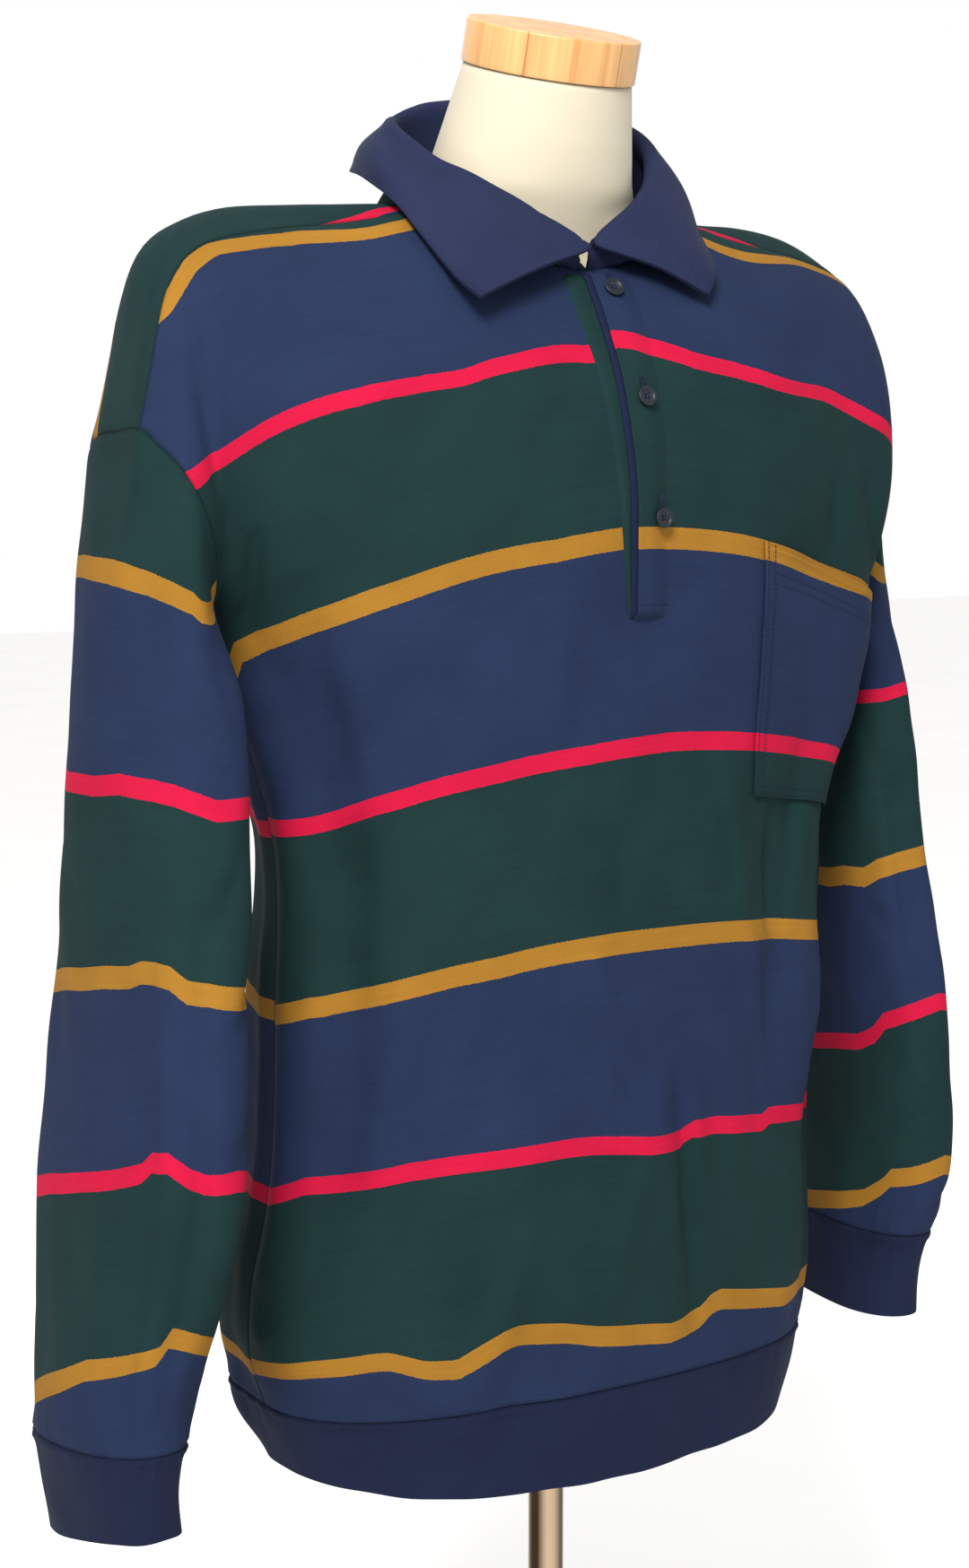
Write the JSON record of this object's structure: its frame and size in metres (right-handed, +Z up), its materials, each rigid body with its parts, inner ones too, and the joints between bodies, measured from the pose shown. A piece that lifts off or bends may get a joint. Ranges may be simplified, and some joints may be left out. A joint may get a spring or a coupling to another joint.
{
  "type": "long-sleeved striped knitted pullover with collar on a limbless dress form and pole stand",
  "caption": "Relaxed long-sleeved pullover with polo collar, button placket, chest pocket, hem band and cuffs, worn by a limbless dress form with wooden neck cap on a pole stand",
  "frame": {"origin": "centre of the underside of the round base, which is on the pole's axis", "axes": "+Z is up along the pole; -Y is the front of the garment; +X is towards the wearer's left"},
  "size_m": [0.611, 0.3, 1.2085],
  "materials": {
    "striped_jersey": "smooth fine knit, wide navy and bottle-green bands with narrow raspberry and mustard stripes",
    "navy_jersey": "smooth fine knit, plain navy",
    "green_jersey": "smooth fine knit, plain bottle green",
    "dark_button": "four-hole buttons with a raised rim, satin, near black",
    "cream_form_cover": "tight smooth cream cover",
    "pine_cap": "satin varnished pale pine",
    "nickel_stand": "warm satin nickel"
  },
  "bodies": {
    "root": {"front_panel": "striped_jersey", "back_panel": "striped_jersey", "sleeve_right": "striped_jersey", "sleeve_left": "striped_jersey", "chest_pocket": "striped_jersey", "placket_overlap": "striped_jersey", "placket_underlap": "green_jersey", "placket_facing": "navy_jersey", "hem_band": "navy_jersey", "cuff_right": "navy_jersey", "cuff_left": "navy_jersey", "collar": "navy_jersey", "button_top": "dark_button", "button_middle": "dark_button", "button_bottom": "dark_button", "form_torso": "cream_form_cover", "neck_cap": "pine_cap", "stand_pole": "nickel_stand", "stand_base": "nickel_stand"}
  },
  "joints": []
}
